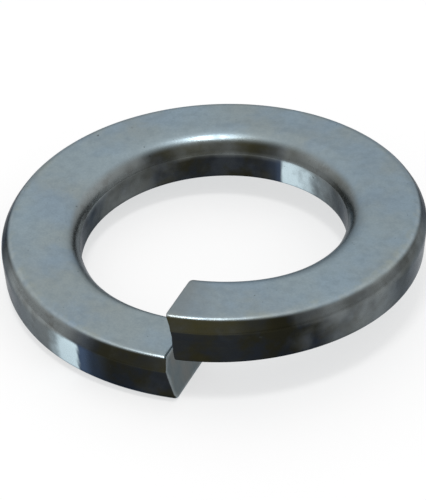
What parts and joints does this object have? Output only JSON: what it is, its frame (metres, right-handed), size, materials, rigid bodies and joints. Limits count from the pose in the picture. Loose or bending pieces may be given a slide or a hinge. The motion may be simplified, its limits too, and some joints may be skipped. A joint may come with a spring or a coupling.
{
  "type": "split lock washer",
  "caption": "Split spring lock washer coiled from flat wire, its two cut ends offset by one wire thickness.",
  "frame": {"origin": "on the bore axis, level with the lowest corner of the low end", "axes": "+Z along the bore axis towards the nut or bolt head, split facing -Y, high end on the +X side of the split"},
  "size_m": [0.033, 0.033, 0.0078],
  "materials": {
    "zinc_plated_steel": "satin bright zinc plating with a thin blue passivation"
  },
  "bodies": {
    "root": {"lock_washer": "zinc_plated_steel"}
  },
  "joints": []
}
